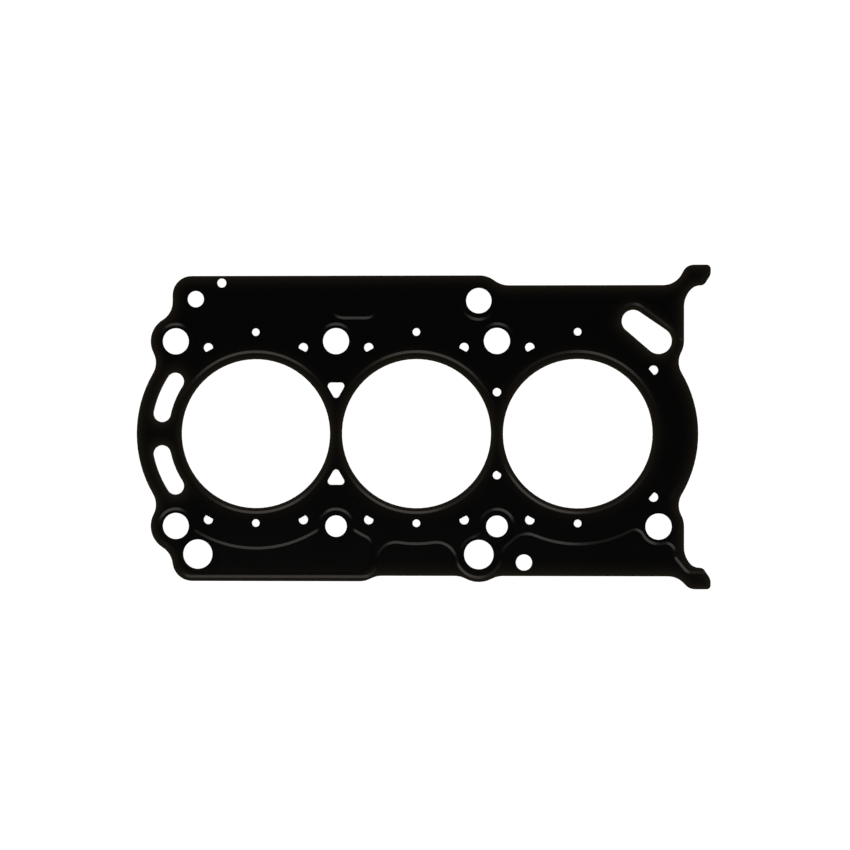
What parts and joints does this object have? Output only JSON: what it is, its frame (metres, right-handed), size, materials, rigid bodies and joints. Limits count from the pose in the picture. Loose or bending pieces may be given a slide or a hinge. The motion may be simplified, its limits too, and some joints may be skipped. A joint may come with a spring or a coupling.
{
  "type": "cylinder head gasket",
  "caption": "Black-coated three-layer steel head gasket for an in-line three-cylinder engine, with embossed sealing beads.",
  "frame": {"origin": "axis of the middle cylinder opening, on the underside of the stack", "axes": "+X along the engine towards the timing case, +Y across the engine, +Z out of the upper joint face"},
  "size_m": [0.2854, 0.1607, 0.0012],
  "materials": {
    "coated_steel": "satin",
    "plain_steel": "satin"
  },
  "bodies": {
    "root": {"top_sheet": "coated_steel", "middle_sheet": "plain_steel", "bottom_sheet": "coated_steel"}
  },
  "joints": []
}
